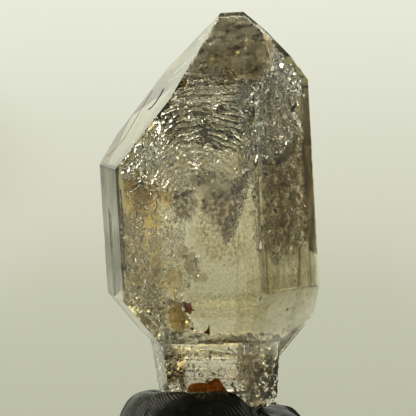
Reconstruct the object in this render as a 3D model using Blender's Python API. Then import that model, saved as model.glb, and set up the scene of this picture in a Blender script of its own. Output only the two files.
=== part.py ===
"""A smoky quartz scepter whose broken foot is pressed into a lump of display putty.

The wide head grew over the end of a narrower stem along the same axis, so head and
stem are one crystal. Sizes are millimetres until a mesh is made, and metres after that.
Sectors count sixths of a turn about the crystal's axis: 0 is the broad front face,
1 and 2 follow to the right, 3 is the back, and 4 and 5 come round on the left.
"""

import math

import bmesh
import bpy
from mathutils import Matrix, Vector

MM = 0.001
SECTORS = 6
SECTOR_ANGLE = math.tau / SECTORS
GAP = 0.3
CUT_TOLERANCE = 1e-7

# Slope of each form's faces, measured from level: the prism is upright, and the
# rhombohedron's faces close it above and below at the angle that quartz has.
PRISM = math.radians(90.0)
TOP = math.radians(51.8)
BOTTOM = math.pi - TOP

# How the crystal stands: turned so that its broad face looks a little to the left, and
# leaning to the left. The neck is where the head's underside meets the stem.
TURN = math.radians(17.7)
LEAN = math.radians(3.4)
NECK_HEIGHT = 17.4

# Distance of each face from the middle of the neck, by sector.
HEAD_PRISM = (13.4, 16.2, 12.7, 12.5, 15.5, 16.7)
HEAD_TOP = (34.5, 39.6, 34.6, 28.05, 32.25, 30.45)
HEAD_BOTTOM = (6.3, 7.35, 7.75, 6.3, 10.7, 8.3)
STEM_PRISM = (8.3, 9.2, 7.0, 7.0, 10.1, 10.65)

# The stem narrows downwards on faces that are nearly upright, with a small level ledge
# at each growth step.
STEM_TOP = 4.0
STEM_BOTTOM = -14.0
STEM_TAPER = math.radians(5.2)
STEP_HEIGHTS = (-1.3, -3.0, -4.4, -6.6, -8.3)
STEP_DEPTH = 0.12
STEP_RISE = 0.1

# The broken foot: a sector, the slope of the break and its distance from the neck.
FOOT_BREAKS = (
    (1.4, math.radians(172.0), 11.0),
    (4.3, math.radians(158.0), 11.1),
    (1.0, math.radians(128.0), 12.5),
    (2.6, math.radians(135.0), 11.9),
    (5.4, math.radians(140.0), 12.9),
)

# Growth ledges: a form, a sector, the depth of the ledge, and its outline on the face,
# in millimetres across and up from the foot of the perpendicular from the neck.
LEDGES = (
    (TOP, 0, 0.22, ((-4.0, 20.0), (9.0, 20.0), (7.9, 25.0), (5.2, 26.1), (-2.0, 26.4))),
    (PRISM, 0, 0.25, ((-13.0, 26.0), (-9.6, 30.4), (-9.9, 32.0), (-13.0, 34.0))),
    (PRISM, 0, 0.30, ((-8.2, 31.2), (-4.6, 35.4), (-5.2, 38.0), (-10.0, 34.6))),
    (PRISM, 1, 0.25, ((3.5, 6.0), (8.0, 6.0), (8.0, 44.0), (3.9, 44.0))),
    (PRISM, 2, 0.25, ((-4.1, 15.0), (3.0, 12.0), (5.1, 21.0), (-2.2, 30.0))),
    (PRISM, 3, 0.30, ((-8.5, 4.0), (-1.0, 4.0), (-2.4, 16.5), (-9.0, 19.0))),
    (PRISM, 3, 0.25, ((4.0, 14.0), (12.0, 12.0), (12.0, 31.0), (6.1, 31.0))),
    (PRISM, 4, 0.30, ((-7.0, 10.0), (-1.2, 11.0), (0.8, 24.0), (-7.0, 26.0))),
    (PRISM, 5, 0.20, ((-3.2, 6.0), (1.4, 6.0), (2.1, 19.0), (-2.6, 22.0))),
    (TOP, 3, 0.30, ((-14.0, 14.0), (2.6, 14.0), (1.2, 24.0), (-4.4, 26.6), (-14.0, 27.0))),
    (TOP, 2, 0.25, ((-10.0, 26.0), (-3.0, 26.0), (-4.6, 33.0), (-8.2, 34.0))),
    (BOTTOM, 0, 0.20, ((-13.0, 6.2), (-1.4, 6.2), (-1.6, 17.0), (-13.0, 17.0))),
    (BOTTOM, 3, 0.30, ((-1.5, 4.4), (6.6, 4.4), (7.5, 9.8), (-2.5, 9.0))),
)

# Scalloped chips along edges: the two faces that meet there as form and sector, the
# height on the crystal, and the chip's radius and depth.
CHIPS = (
    ((PRISM, 0), (PRISM, 1), 33.1, 1.5, 0.35),
    ((PRISM, 0), (PRISM, 1), 18.4, 1.2, 0.25),
    ((PRISM, 1), (PRISM, 2), 31.5, 1.4, 0.30),
    ((PRISM, 2), (PRISM, 3), 17.2, 2.4, 0.55),
    ((PRISM, 3), (PRISM, 4), 24.4, 2.0, 0.45),
    ((PRISM, 4), (PRISM, 5), 16.1, 1.5, 0.30),
    ((PRISM, 5), (PRISM, 0), 13.0, 1.6, 0.35),
    ((TOP, 0), (TOP, 5), 43.2, 1.3, 0.25),
    ((TOP, 0), (TOP, 2), 46.8, 1.2, 0.25),
    ((TOP, 1), (TOP, 2), 42.4, 1.1, 0.25),
    ((TOP, 3), (TOP, 4), 37.5, 1.6, 0.35),
    ((BOTTOM, 1), (BOTTOM, 2), 3.1, 1.4, 0.30),
    ((BOTTOM, 4), (BOTTOM, 3), 1.0, 1.8, 0.40),
)

# Three-sided growth pits, point down: form, sector, place on the face and radius.
PITS = (
    (TOP, 0, (8.6, 30.2), 0.45),
    (TOP, 3, (-6.8, 33.0), 0.80),
    (TOP, 3, (5.2, 22.8), 0.60),
    (TOP, 2, (-9.4, 30.8), 0.55),
    (TOP, 5, (1.6, 22.6), 0.35),
    (PRISM, 3, (1.2, 22.6), 0.70),
    (PRISM, 2, (-7.6, 26.0), 0.55),
    (BOTTOM, 1, (0.8, 12.4), 0.40),
)
PIT_STEEPNESS = 0.45

# The putty, as seen from above: its middle to one side of the neck, and the reach of
# its base and the height of its rim in sixteen directions, from the right round by the
# back. The rim is highest in front, and drops where the foot's right corner shows.
PUTTY_OFFSET = (-2.2, 0.4)
PUTTY_REACH_BACK = (15.4, 15.6, 15.0, 14.1, 13.5, 13.4, 13.9, 14.6)
PUTTY_REACH_FRONT = (15.0, 14.8, 14.2, 13.5, 13.1, 13.3, 14.0, 14.9)
PUTTY_RIM_BACK = (6.0, 6.3, 6.5, 6.8, 7.2, 7.7, 8.2, 8.7)
PUTTY_RIM_FRONT = (9.0, 9.6, 10.1, 10.4, 10.5, 10.6, 7.4, 5.8)
PUTTY_REACH = PUTTY_REACH_BACK + PUTTY_REACH_FRONT
PUTTY_RIM = PUTTY_RIM_BACK + PUTTY_RIM_FRONT
PUTTY_MIDDLE = 8.4
PUTTY_SEGMENTS = 48

# Across the putty from the underside outwards and back in to the rim: the share of the
# reach, and the share of the rim's height.
PUTTY_PROFILE = (
    (0.93, 0.0),
    (0.99, 0.07),
    (1.0, 0.2),
    (0.985, 0.38),
    (0.945, 0.58),
    (0.885, 0.77),
    (0.815, 0.91),
    (0.745, 0.985),
    (0.67, 1.0),
)
PUTTY_INNER = (0.5, 0.3)


def make_material(name, colour, roughness, transmission=0.0, ior=1.5):
    """A Principled material with the piece's colour and finish."""
    material = bpy.data.materials.new(name)
    material.use_nodes = True
    shader = material.node_tree.nodes["Principled BSDF"]
    shader.inputs["Base Color"].default_value = (*colour, 1.0)
    shader.inputs["Roughness"].default_value = roughness
    shader.inputs["Metallic"].default_value = 0.0
    shader.inputs["Transmission Weight"].default_value = transmission
    shader.inputs["IOR"].default_value = ior
    material.diffuse_color = (*colour, 1.0)
    return material


def quartz_material():
    """Smoky quartz: clear, glossy, grey-brown."""
    return make_material("smoky_quartz", (0.56, 0.52, 0.43), 0.05, transmission=1.0, ior=1.544)


def putty_material():
    """Display putty: nearly black, with a green cast and a satin skin."""
    return make_material("dark_putty", (0.022, 0.026, 0.021), 0.42)


def clear_objects():
    """Start from an empty file."""
    for thing in list(bpy.data.objects):
        bpy.data.objects.remove(thing)


def add_object(name, bm, material, parent):
    """Turn a mesh in millimetres into an object in metres."""
    bmesh.ops.scale(bm, vec=(MM, MM, MM), verts=bm.verts)
    bmesh.ops.recalc_face_normals(bm, faces=bm.faces)
    mesh = bpy.data.meshes.new(name)
    bm.to_mesh(mesh)
    bm.free()
    mesh.materials.append(material)
    thing = bpy.data.objects.new(name, mesh)
    bpy.context.scene.collection.objects.link(thing)
    thing.parent = parent
    return thing


def add_cutter(name, bm, material, parent):
    """An object that only shapes another one."""
    cutter = add_object(name, bm, material, parent)
    cutter.hide_render = True
    cutter.display_type = "WIRE"
    return cutter


def apply_shape(thing, other, operation):
    """Join or cut with another object, by a Boolean modifier."""
    modifier = thing.modifiers.new(other.name, "BOOLEAN")
    modifier.operation = operation
    modifier.solver = "EXACT"
    modifier.object = other


def face_normal(slope, sector):
    """The outward direction of a face of the crystal."""
    turn = sector * SECTOR_ANGLE
    level = math.sin(slope)
    return Vector((math.sin(turn) * level, -math.cos(turn) * level, math.cos(slope)))


def face_distance(slope, sector):
    """How far a face of the head lies from the middle of the neck."""
    distances = {PRISM: HEAD_PRISM, TOP: HEAD_TOP, BOTTOM: HEAD_BOTTOM}
    return distances[slope][sector]


def face_frame(slope, sector):
    """Where a face of the head lies: across, up the face, outwards, and its origin."""
    outward = face_normal(slope, sector)
    across = Vector((0.0, 0.0, 1.0)).cross(outward).normalized()
    upward = outward.cross(across)
    origin = outward * face_distance(slope, sector)
    frame = Matrix((across, upward, outward)).transposed().to_4x4()
    frame.translation = origin
    return frame


def trim(bm, normal, distance):
    """Cut away what lies beyond a plane, and close the cut with one flat face."""
    bmesh.ops.bisect_plane(
        bm,
        geom=bm.verts[:] + bm.edges[:] + bm.faces[:],
        dist=CUT_TOLERANCE,
        plane_co=normal * distance,
        plane_no=normal,
        clear_outer=True,
    )
    rim = [edge for edge in bm.edges if edge.is_boundary]
    if rim:
        bmesh.ops.contextual_create(bm, geom=rim)


def head_mesh():
    """The head: prism faces closed by rhombohedron faces above and below."""
    bm = bmesh.new()
    bmesh.ops.create_cube(bm, size=200.0)
    for slope in (PRISM, TOP, BOTTOM):
        for sector in range(SECTORS):
            trim(bm, face_normal(slope, sector), face_distance(slope, sector))
    return bm


def stem_ring(bm, height, inset, clearance):
    """The stem's outline at one height, as vertices where neighbouring faces meet."""
    ring = []
    for sector in range(SECTORS):
        after = (sector + 1) % SECTORS
        here = STEM_PRISM[sector] - inset + clearance
        there = STEM_PRISM[after] - inset + clearance
        first = face_normal(PRISM, sector)
        across = Vector((-first.y, first.x, 0.0))
        along = (there - here * math.cos(SECTOR_ANGLE)) / math.sin(SECTOR_ANGLE)
        corner = first * here + across * along
        ring.append(bm.verts.new((corner.x, corner.y, height)))
    return ring


def stem_mesh(clearance=0.0):
    """The stem with its growth steps and broken foot, grown by a clearance all round."""
    levels = [(STEM_TOP, 0.0)]
    inset = 0.0
    previous = STEM_TOP
    for height in STEP_HEIGHTS:
        inset += (previous - height) * math.tan(STEM_TAPER) - STEP_DEPTH
        levels.append((height, inset))
        inset += STEP_DEPTH
        levels.append((height - STEP_RISE, inset))
        previous = height
    inset += (previous - STEM_BOTTOM) * math.tan(STEM_TAPER)
    levels.append((STEM_BOTTOM, inset))

    neck_inset = STEM_TOP * math.tan(STEM_TAPER)
    bm = bmesh.new()
    rings = [stem_ring(bm, height, inset - neck_inset, clearance) for height, inset in levels]
    for upper, lower in zip(rings, rings[1:]):
        for corner in range(SECTORS):
            after = (corner + 1) % SECTORS
            bm.faces.new((upper[corner], upper[after], lower[after], lower[corner]))
    bm.faces.new(rings[0])
    bm.faces.new(reversed(rings[-1]))
    bmesh.ops.recalc_face_normals(bm, faces=bm.faces)
    for sector, slope, distance in FOOT_BREAKS:
        trim(bm, face_normal(slope, sector), distance + clearance)
    return bm


def ledge_mesh(slope, sector, depth, outline):
    """A flat slab that takes a ledge off one face: the outline, pushed out of the face."""
    reach = 2.0
    bm = bmesh.new()
    floor = [bm.verts.new((across, up, -depth)) for across, up in outline]
    face = bm.faces.new(floor)
    raised = bmesh.ops.extrude_face_region(bm, geom=[face])["geom"]
    corners = [item for item in raised if isinstance(item, bmesh.types.BMVert)]
    bmesh.ops.translate(bm, vec=(0.0, 0.0, reach), verts=corners)
    bm.transform(face_frame(slope, sector))
    return bm


def edge_point(one, other, height):
    """The point where two faces of the head meet at a height, and the way out of it."""
    first = face_normal(*one)
    second = face_normal(*other)
    level = Vector((0.0, 0.0, 1.0))
    rows = Matrix((first, second, level))
    point = rows.inverted() @ Vector((face_distance(*one), face_distance(*other), height))
    return point, (first + second).normalized()


def chip_mesh(one, other, height, radius, depth):
    """A ball that bites a scalloped chip out of an edge."""
    point, outward = edge_point(one, other, height)
    bm = bmesh.new()
    bmesh.ops.create_icosphere(bm, subdivisions=2, radius=radius)
    bmesh.ops.translate(bm, vec=point + outward * (radius - depth), verts=bm.verts)
    return bm


def pit_mesh(slope, sector, place, radius):
    """A three-sided point, upside down, that leaves a growth pit."""
    depth = radius * PIT_STEEPNESS
    bm = bmesh.new()
    bmesh.ops.create_cone(
        bm, cap_ends=True, segments=3, radius1=0.0, radius2=radius * 2.0, depth=depth * 2.0
    )
    bmesh.ops.remove_doubles(bm, verts=bm.verts, dist=CUT_TOLERANCE)
    bm.transform(face_frame(slope, sector) @ Matrix.Translation((*place, 0.0)))
    return bm


def crystal_features(material, parent):
    """Every cutter that shapes the crystal's surface, in the order that they are used."""
    features = []
    for number, (slope, sector, depth, outline) in enumerate(LEDGES):
        features.append((f"ledge_{number}", ledge_mesh(slope, sector, depth, outline)))
    for number, (one, other, height, radius, depth) in enumerate(CHIPS):
        features.append((f"chip_{number}", chip_mesh(one, other, height, radius, depth)))
    for number, (slope, sector, place, radius) in enumerate(PITS):
        features.append((f"pit_{number}", pit_mesh(slope, sector, place, radius)))
    return [add_cutter(name, bm, material, parent) for name, bm in features]


def add_crystal(parent):
    """The crystal: head and stem in one solid, with ledges, chips and pits."""
    material = quartz_material()
    crystal = add_object("scepter_crystal", head_mesh(), material, parent)
    stem = add_cutter("stem_shape", stem_mesh(), material, parent)
    apply_shape(crystal, stem, "UNION")
    for feature in crystal_features(material, parent):
        apply_shape(crystal, feature, "DIFFERENCE")
    return crystal


def around(values, turn):
    """Read a closed row of values at a share of a turn, rounded smoothly between them."""
    place = turn * len(values)
    before = int(place) % len(values)
    after = (before + 1) % len(values)
    share = place - int(place)
    smooth = share * share * (3.0 - 2.0 * share)
    return values[before] * (1.0 - smooth) + values[after] * smooth


def putty_ring(bm, reach_share, height_of):
    """One closed row of vertices round the putty."""
    ring = []
    for segment in range(PUTTY_SEGMENTS):
        turn = segment / PUTTY_SEGMENTS
        reach = around(PUTTY_REACH, turn) * reach_share
        angle = turn * math.tau
        place = (reach * math.cos(angle), reach * math.sin(angle), height_of(turn))
        ring.append(bm.verts.new(place))
    return ring


def putty_mesh():
    """The putty: a squashed lump with a flat underside and a rim of uneven height."""
    bm = bmesh.new()
    rings = []
    for reach_share, rim_share in PUTTY_PROFILE:
        rings.append(putty_ring(bm, reach_share, lambda turn: around(PUTTY_RIM, turn) * rim_share))
    for reach_share in PUTTY_INNER:
        blend = reach_share / PUTTY_PROFILE[-1][0]
        middle = PUTTY_MIDDLE * (1.0 - blend)
        rings.append(putty_ring(bm, reach_share, lambda turn: around(PUTTY_RIM, turn) * blend + middle))
    for outer, inner in zip(rings, rings[1:]):
        for segment in range(PUTTY_SEGMENTS):
            after = (segment + 1) % PUTTY_SEGMENTS
            bm.faces.new((outer[segment], outer[after], inner[after], inner[segment]))
    top = bm.verts.new((0.0, 0.0, PUTTY_MIDDLE))
    for segment in range(PUTTY_SEGMENTS):
        after = (segment + 1) % PUTTY_SEGMENTS
        bm.faces.new((rings[-1][segment], rings[-1][after], top))
    bm.faces.new(reversed(rings[0]))
    return bm


def add_putty(parent, crystal_parent):
    """The putty, with a pocket a hair wider than the stem's foot."""
    putty = add_object("display_putty", putty_mesh(), putty_material(), parent)
    putty.location = (PUTTY_OFFSET[0] * MM, PUTTY_OFFSET[1] * MM, 0.0)
    pocket = add_cutter("foot_pocket", stem_mesh(GAP), putty.data.materials[0], crystal_parent)
    apply_shape(putty, pocket, "DIFFERENCE")
    return putty


def add_empty(name, parent=None):
    """A frame that other objects are placed by."""
    empty = bpy.data.objects.new(name, None)
    bpy.context.scene.collection.objects.link(empty)
    empty.parent = parent
    return empty


def stand_on_origin(base, pieces):
    """Move everything so that the middle of its underside is at the origin."""
    bpy.context.view_layer.update()
    depsgraph = bpy.context.evaluated_depsgraph_get()
    corners = []
    for piece in pieces:
        evaluated = piece.evaluated_get(depsgraph)
        mesh = evaluated.to_mesh()
        corners.extend(evaluated.matrix_world @ vertex.co for vertex in mesh.vertices)
        evaluated.to_mesh_clear()
    low = [min(corner[axis] for corner in corners) for axis in range(3)]
    high = [max(corner[axis] for corner in corners) for axis in range(3)]
    base.location = (-(low[0] + high[0]) / 2.0, -(low[1] + high[1]) / 2.0, -low[2])
    bpy.context.view_layer.update()


def build():
    """Make the whole object."""
    clear_objects()
    base = add_empty("underside_middle")
    leaning = add_empty("crystal_lean", base)
    leaning.location = (0.0, 0.0, NECK_HEIGHT * MM)
    leaning.rotation_euler = (0.0, -LEAN, 0.0)
    turned = add_empty("crystal_turn", leaning)
    turned.rotation_euler = (0.0, 0.0, -TURN)
    crystal = add_crystal(turned)
    putty = add_putty(base, turned)
    stand_on_origin(base, (crystal, putty))


build()
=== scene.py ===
"""Looks of the smoky quartz scepter: its clear shell, what grew inside it, and the putty."""

import math
import random

import bmesh
import bpy
import numpy as np
from mathutils import Matrix, Vector, noise
from mathutils.bvhtree import BVHTree


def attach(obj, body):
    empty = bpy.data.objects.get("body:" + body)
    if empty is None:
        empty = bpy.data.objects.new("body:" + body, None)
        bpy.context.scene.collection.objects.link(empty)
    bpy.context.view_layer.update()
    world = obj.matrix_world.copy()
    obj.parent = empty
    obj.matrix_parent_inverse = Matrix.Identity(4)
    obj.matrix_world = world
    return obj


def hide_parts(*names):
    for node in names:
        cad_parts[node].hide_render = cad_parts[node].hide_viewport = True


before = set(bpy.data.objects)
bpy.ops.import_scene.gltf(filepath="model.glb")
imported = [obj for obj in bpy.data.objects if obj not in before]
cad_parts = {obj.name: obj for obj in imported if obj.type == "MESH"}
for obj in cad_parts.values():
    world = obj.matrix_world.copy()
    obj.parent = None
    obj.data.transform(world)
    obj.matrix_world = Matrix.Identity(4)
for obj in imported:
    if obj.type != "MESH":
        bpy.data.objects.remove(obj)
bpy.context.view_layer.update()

MM = 0.001

# The camera: the photo is 416 pixels wide, and one pixel is 0.155 mm at the crystal.
PHOTO_SIDE = 416
PIXEL = 0.155 * MM
CAMERA_DISTANCE = 2500 * PIXEL
CAMERA_TILT = math.radians(5.05)
CAMERA_AIM = Vector((0.019, 0.473, 37.82)) * MM

# A grain in the quartz is drawn as if it were in air, so its own value is close to 1.
QUARTZ_IOR = 1.544
GRAIN_IOR = 1.06

# The growth steps of the stem lie between these heights.
STEM_FOOT = 9.0 * MM
STEM_TOP = 16.9 * MM
WHITE = (1.0, 1.0, 1.0)

# The noise module draws its offsets from the clock unless it has a seed of its own.
NOISE_SEED = 7
noise.seed_set(NOISE_SEED)


def add_object(name, mesh, slot):
    thing = bpy.data.objects.new(name, mesh)
    bpy.context.scene.collection.objects.link(thing)
    if slot:
        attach(thing, "root")
    return thing


def mesh_from(bm, name, material, smooth):
    for face in bm.faces:
        face.smooth = smooth
    mesh = bpy.data.meshes.new(name)
    bm.to_mesh(mesh)
    bm.free()
    mesh.materials.append(material)
    return mesh


def add_inner(name, bm, material, smooth=True):
    """A piece that grew inside the crystal."""
    add_object(name, mesh_from(bm, name, material, smooth), "smoky_quartz")


# Materials.


def make_material(name):
    material = bpy.data.materials.new(name)
    material.use_nodes = True
    tree = material.node_tree
    return material, tree, tree.nodes["Principled BSDF"]


def set_inputs(tree, node, inputs):
    """Gives each of a node's inputs a value, or links it to another node's output."""
    for key, value in inputs.items():
        socket = node.inputs[key]
        if isinstance(value, bpy.types.NodeSocket):
            tree.links.new(value, socket)
        elif socket.type == "RGBA":
            socket.default_value = (*value, 1.0)
        else:
            socket.default_value = value


def add_node(tree, kind, inputs, **settings):
    node = tree.nodes.new("ShaderNode" + kind)
    for name, value in settings.items():
        setattr(node, name, value)
    set_inputs(tree, node, inputs)
    return node


def place_node(tree):
    """The object's own coordinates."""
    return add_node(tree, "TexCoord", {}).outputs["Object"]


def noise_node(tree, scale, detail=3.0, stretch=WHITE):
    """Noise over the object's own coordinates, with the scale in 1/m."""
    mapping = add_node(tree, "Mapping", {"Scale": stretch, "Vector": place_node(tree)})
    inputs = {"Scale": scale, "Detail": detail, "Vector": mapping.outputs["Vector"]}
    return add_node(tree, "TexNoise", inputs).outputs["Fac"]


def range_node(tree, value, low, high, start, end):
    inputs = {"From Min": low, "From Max": high, "To Min": start, "To Max": end, "Value": value}
    return add_node(tree, "MapRange", inputs, interpolation_type="SMOOTHSTEP").outputs["Result"]


def blend_node(tree, share, first, second):
    """A colour between two colours."""
    inputs = {"A": first, "B": second, "Factor": share}
    return add_node(tree, "Mix", inputs, data_type="RGBA").outputs["Result"]


def math_node(tree, operation, *values):
    return add_node(tree, "Math", dict(enumerate(values)), operation=operation).outputs[0]


def product_node(tree, first, second):
    return math_node(tree, "MULTIPLY", first, second)


def bump_node(tree, height, depth, strength, normal=None):
    """A bump whose full height is a depth in mm, on top of another bump if one is given."""
    inputs = {"Distance": depth * MM, "Strength": strength, "Height": height}
    if normal:
        inputs["Normal"] = normal
    return add_node(tree, "Bump", inputs).outputs["Normal"]


def quartz_material():
    """Clear quartz, bright above and with a faint grain on its lower faces."""
    material, tree, shader = make_material("quartz_shell")
    height = add_node(tree, "SeparateXYZ", {0: place_node(tree)}).outputs["Z"]
    normal = None
    for scale, detail, depth, low, high in (
        (1800.0, 3.0, 0.04, 0.7, 0.06),
        (420.0, 2.0, 0.05, 0.5, 0.12),
    ):
        strength = range_node(tree, height, 0.024, 0.038, low, high)
        normal = bump_node(tree, noise_node(tree, scale, detail), depth, strength, normal)
    set_inputs(tree, shader, {
        "Base Color": WHITE,
        "Roughness": 0.0,
        "IOR": QUARTZ_IOR,
        "Transmission Weight": 1.0,
        "Normal": normal,
    })
    absorb = add_node(tree, "VolumeAbsorption", {"Color": (0.70, 0.64, 0.36), "Density": 40.0})
    set_inputs(tree, tree.nodes["Material Output"], {"Volume": absorb.outputs["Volume"]})
    return material


def wall_material(name, colour, stain, haze):
    """The wall of an air-filled crack: its faces point into the air, as on the shell.

    The stain and the haze each have their noise's scale and detail, then its range.
    """
    material, tree, shader = make_material(name)
    share = range_node(tree, noise_node(tree, *stain[:2]), *stain[2:])
    set_inputs(tree, shader, {
        "IOR": QUARTZ_IOR,
        "Transmission Weight": 1.0,
        "Base Color": blend_node(tree, share, WHITE, colour),
        "Roughness": range_node(tree, noise_node(tree, *haze[:2]), *haze[2:]),
    })
    return material


def crack_material(name, colour, roughness):
    stain = (500.0, 4.0, 0.4, 0.62, 0.0, 1.0)
    return wall_material(name, colour, stain, (900.0, 2.0, 0.4, 0.7, 0.0, roughness))


def frost_material(name, colour, low, high):
    """A crack whose walls are etched dull, so that it glows evenly."""
    stain = (350.0, 5.0, 0.36, 0.64, 0.2, 1.0)
    return wall_material(name, colour, stain, (600.0, 3.0, 0.38, 0.62, low, high))


def veil_material(name, colour, grain, contrast, stretch):
    """A stain, or a painted shade, that tints or darkens what is seen through it, faded out by its
    veil attribute.
    """
    material, tree, shader = make_material(name)
    strength = add_node(tree, "Attribute", {}, attribute_name="veil").outputs["Fac"]
    mottle = noise_node(tree, grain, 5.0, stretch)
    spread = range_node(tree, mottle, 0.36, 0.64, 1.0 - contrast, 1.0)
    share = product_node(tree, strength, spread)
    set_inputs(tree, shader, {
        "IOR": 1.0,
        "Roughness": 0.0,
        "Transmission Weight": 1.0,
        "Base Color": blend_node(tree, share, WHITE, colour),
    })
    return material


def solid_material(name, light, dark, grain, roughness, clear=0.0):
    """An earthy grain of two colours, see-through as far as clear is above zero."""
    material, tree, shader = make_material(name)
    mottle = noise_node(tree, grain, 5.0)
    share = range_node(tree, mottle, 0.36, 0.64, 0.0, 1.0)
    set_inputs(tree, shader, {
        "Base Color": blend_node(tree, share, light, dark),
        "Roughness": roughness,
        "Transmission Weight": clear,
        "IOR": GRAIN_IOR,
        "Normal": bump_node(tree, mottle, 0.12, 0.6),
    })
    return material


def add_shell():
    """The crystal's own faces, clear, with the small growth steps of the stem rounded."""
    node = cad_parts["scepter_crystal"]
    bm = bmesh.new()
    bm.from_mesh(node.data)
    bmesh.ops.remove_doubles(bm, verts=bm.verts, dist=1e-6)
    bmesh.ops.recalc_face_normals(bm, faces=bm.faces)
    for edge in bm.edges:
        first, second = (vertex.co for vertex in edge.verts)
        level = abs(first.z - second.z) < 0.3 * (first - second).length
        edge.smooth = level and STEM_FOOT < first.z < STEM_TOP
    mesh = mesh_from(bm, "quartz_shell", quartz_material(), True)
    shell = add_object("quartz_shell", mesh, "smoky_quartz")
    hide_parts("scepter_crystal")


# Finding places inside the crystal from the photo's pixels.


def photo_ray(px, py):
    """The camera's ray through a pixel of the photo: where it starts and its direction."""
    forward = Vector((0.0, math.cos(CAMERA_TILT), -math.sin(CAMERA_TILT)))
    up = Vector((0.0, math.sin(CAMERA_TILT), math.cos(CAMERA_TILT)))
    right = Vector((1.0, 0.0, 0.0))
    half = PHOTO_SIDE / 2
    ray = forward * CAMERA_DISTANCE + right * (px - half) * PIXEL + up * (half - py) * PIXEL
    return CAMERA_AIM - forward * CAMERA_DISTANCE, ray.normalized()


def bend(ray, normal, ratio):
    """The ray's direction after it goes through a surface."""
    against = -ray.dot(normal)
    root = math.sqrt(max(0.0, 1.0 - ratio * ratio * (1.0 - against * against)))
    return ray * ratio + normal * (ratio * against - root)


def surface_tree(node):
    """A node's surface, for finding where a ray meets it."""
    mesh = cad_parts[node].data
    corners = [vertex.co.copy() for vertex in mesh.vertices]
    return BVHTree.FromPolygons(corners, [tuple(face.vertices) for face in mesh.polygons])


def front_planes():
    """The crystal's large faces that the camera sees, each as a normal and its reach."""
    least_area = 8.0 * MM * MM
    areas = {}
    reaches = {}
    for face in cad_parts["scepter_crystal"].data.polygons:
        key = tuple(round(value, 2) for value in face.normal)
        areas[key] = areas.get(key, 0.0) + face.area
        found = (face.normal.dot(face.center), face.normal.copy())
        reaches[key] = max(reaches.get(key, found), found, key=lambda pair: pair[0])
    planes = []
    for key, (reach, normal) in reaches.items():
        if areas[key] > least_area and normal.y < -0.05:
            planes.append((normal, reach))
    return planes


SURFACE = surface_tree("scepter_crystal")
PLANES = front_planes()


def seen_plane(start, ray):
    """Which of the crystal's large faces a ray enters, without its small steps and chips."""
    hit, _, _, distance = SURFACE.ray_cast(start, ray)
    if hit is None:
        return None
    best = None
    for index, (normal, reach) in enumerate(PLANES):
        slant = ray.dot(normal)
        if slant > -0.02:
            continue
        miss = abs((reach - start.dot(normal)) / slant - distance)
        if best is None or miss < best[0]:
            best = (miss, index)
    return best[1]


def look(px, py, plane=None):
    """Where the camera's ray enters the crystal, how it goes on, and through which face."""
    start, ray = photo_ray(px, py)
    if plane is None:
        plane = seen_plane(start, ray)
    if plane is None:
        return None
    normal, reach = PLANES[plane]
    away = (reach - start.dot(normal)) / ray.dot(normal)
    return start + ray * away, bend(ray, normal, 1.0 / QUARTZ_IOR), plane


def is_within(point, margin):
    """Whether a point is inside the crystal by at least a margin in mm."""
    near, normal, _, distance = SURFACE.find_nearest(point)
    return (near - point).dot(normal) > 0.0 and distance > margin * MM


def inside(px, py, depth, margin):
    """The point seen at a pixel, at a depth in mm, if it is in the crystal by a margin."""
    seen = look(px, py)
    if seen is None:
        return None
    point = seen[0] + seen[1] * depth * MM
    return point if is_within(point, margin) else None


def rough(px, py, size, seed, octaves=4):
    """Noise over the photo's frame, about -1 to 1, with finer detail on top."""
    return noise.fractal(Vector((px / size, py / size, seed)), 0.7, 2.1, octaves)


def shards(px, py, size, seed):
    """A height in pixels made of small flat pieces, each tipped its own way."""
    place = Vector((px / size, py / size, seed))
    near = noise.voronoi(place)[1][0]
    return (place - near).dot(noise.noise_vector(near * 3.7)) * size


def edge_distance(px, py, outline):
    """How far inside an outline a pixel is; below zero outside it."""
    least = 1e9
    within = False
    x0, y0 = outline[-1]
    for x1, y1 in outline:
        run = x1 - x0
        fall = y1 - y0
        share = ((px - x0) * run + (py - y0) * fall) / (run * run + fall * fall)
        share = min(1.0, max(0.0, share))
        least = min(least, math.hypot(px - x0 - share * run, py - y0 - share * fall))
        if (y0 > py) != (y1 > py) and px < x0 + (py - y0) * run / fall:
            within = not within
        x0, y0 = x1, y1
    return least if within else -least


# Closed thin forms on a grid of pixels. A cell's key is its row and its column.
BESIDE = ((0, 1), (1, 0), (0, -1), (-1, 0))


def square_grid(outline, step_x, step_y):
    """Rows of pixels over an outline's box."""
    border = 4
    xs = [x for x, _ in outline]
    ys = [y for _, y in outline]
    left = min(xs) - border
    top = min(ys) - border
    columns = range(int((max(xs) - min(xs) + 2 * border) / step_x))
    rows = range(int((max(ys) - min(ys) + 2 * border) / step_y))
    return [[(left + step_x * column, top + step_y * row) for column in columns] for row in rows]


def grid_spots(grid, depth_at, edge_at, room_at, plane=None, margin=0.22):
    """The grid's points inside the crystal, a set for each face that shows them."""
    overlap = 2
    seen = {}
    for row, line in enumerate(grid):
        for column, (px, py) in enumerate(line):
            if edge_at(px, py) > 0.0:
                seen[row, column] = seen_plane(*photo_ray(px, py)) if plane is None else plane
    parts = []
    for face in sorted(set(seen.values()) - {None}):
        own = {key for key in seen if seen[key] == face}
        for _ in range(overlap):
            beside = {(row + down, column + on) for row, column in own for down, on in BESIDE}
            own |= beside & seen.keys()
        spots = {}
        for key in sorted(own):
            px, py = grid[key[0]][key[1]]
            entry, ray, _ = look(px, py, face)
            near = entry + ray * depth_at(px, py) * MM
            far = near + ray * room_at(px, py) * MM
            if is_within(near, margin) and is_within(far, margin):
                spots[key] = (near, ray)
        parts.append(spots)
    return parts


def border_steps(spots, most):
    """How many steps each spot is from the edge of its set."""
    steps = dict.fromkeys(spots, 0)
    inner = set(spots)
    for level in range(1, most + 1):
        inner = {
            (row, column) for row, column in inner
            if all((row + down, column + on) in inner for down, on in BESIDE)
        }
        for key in inner:
            steps[key] = level
    return steps


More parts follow.
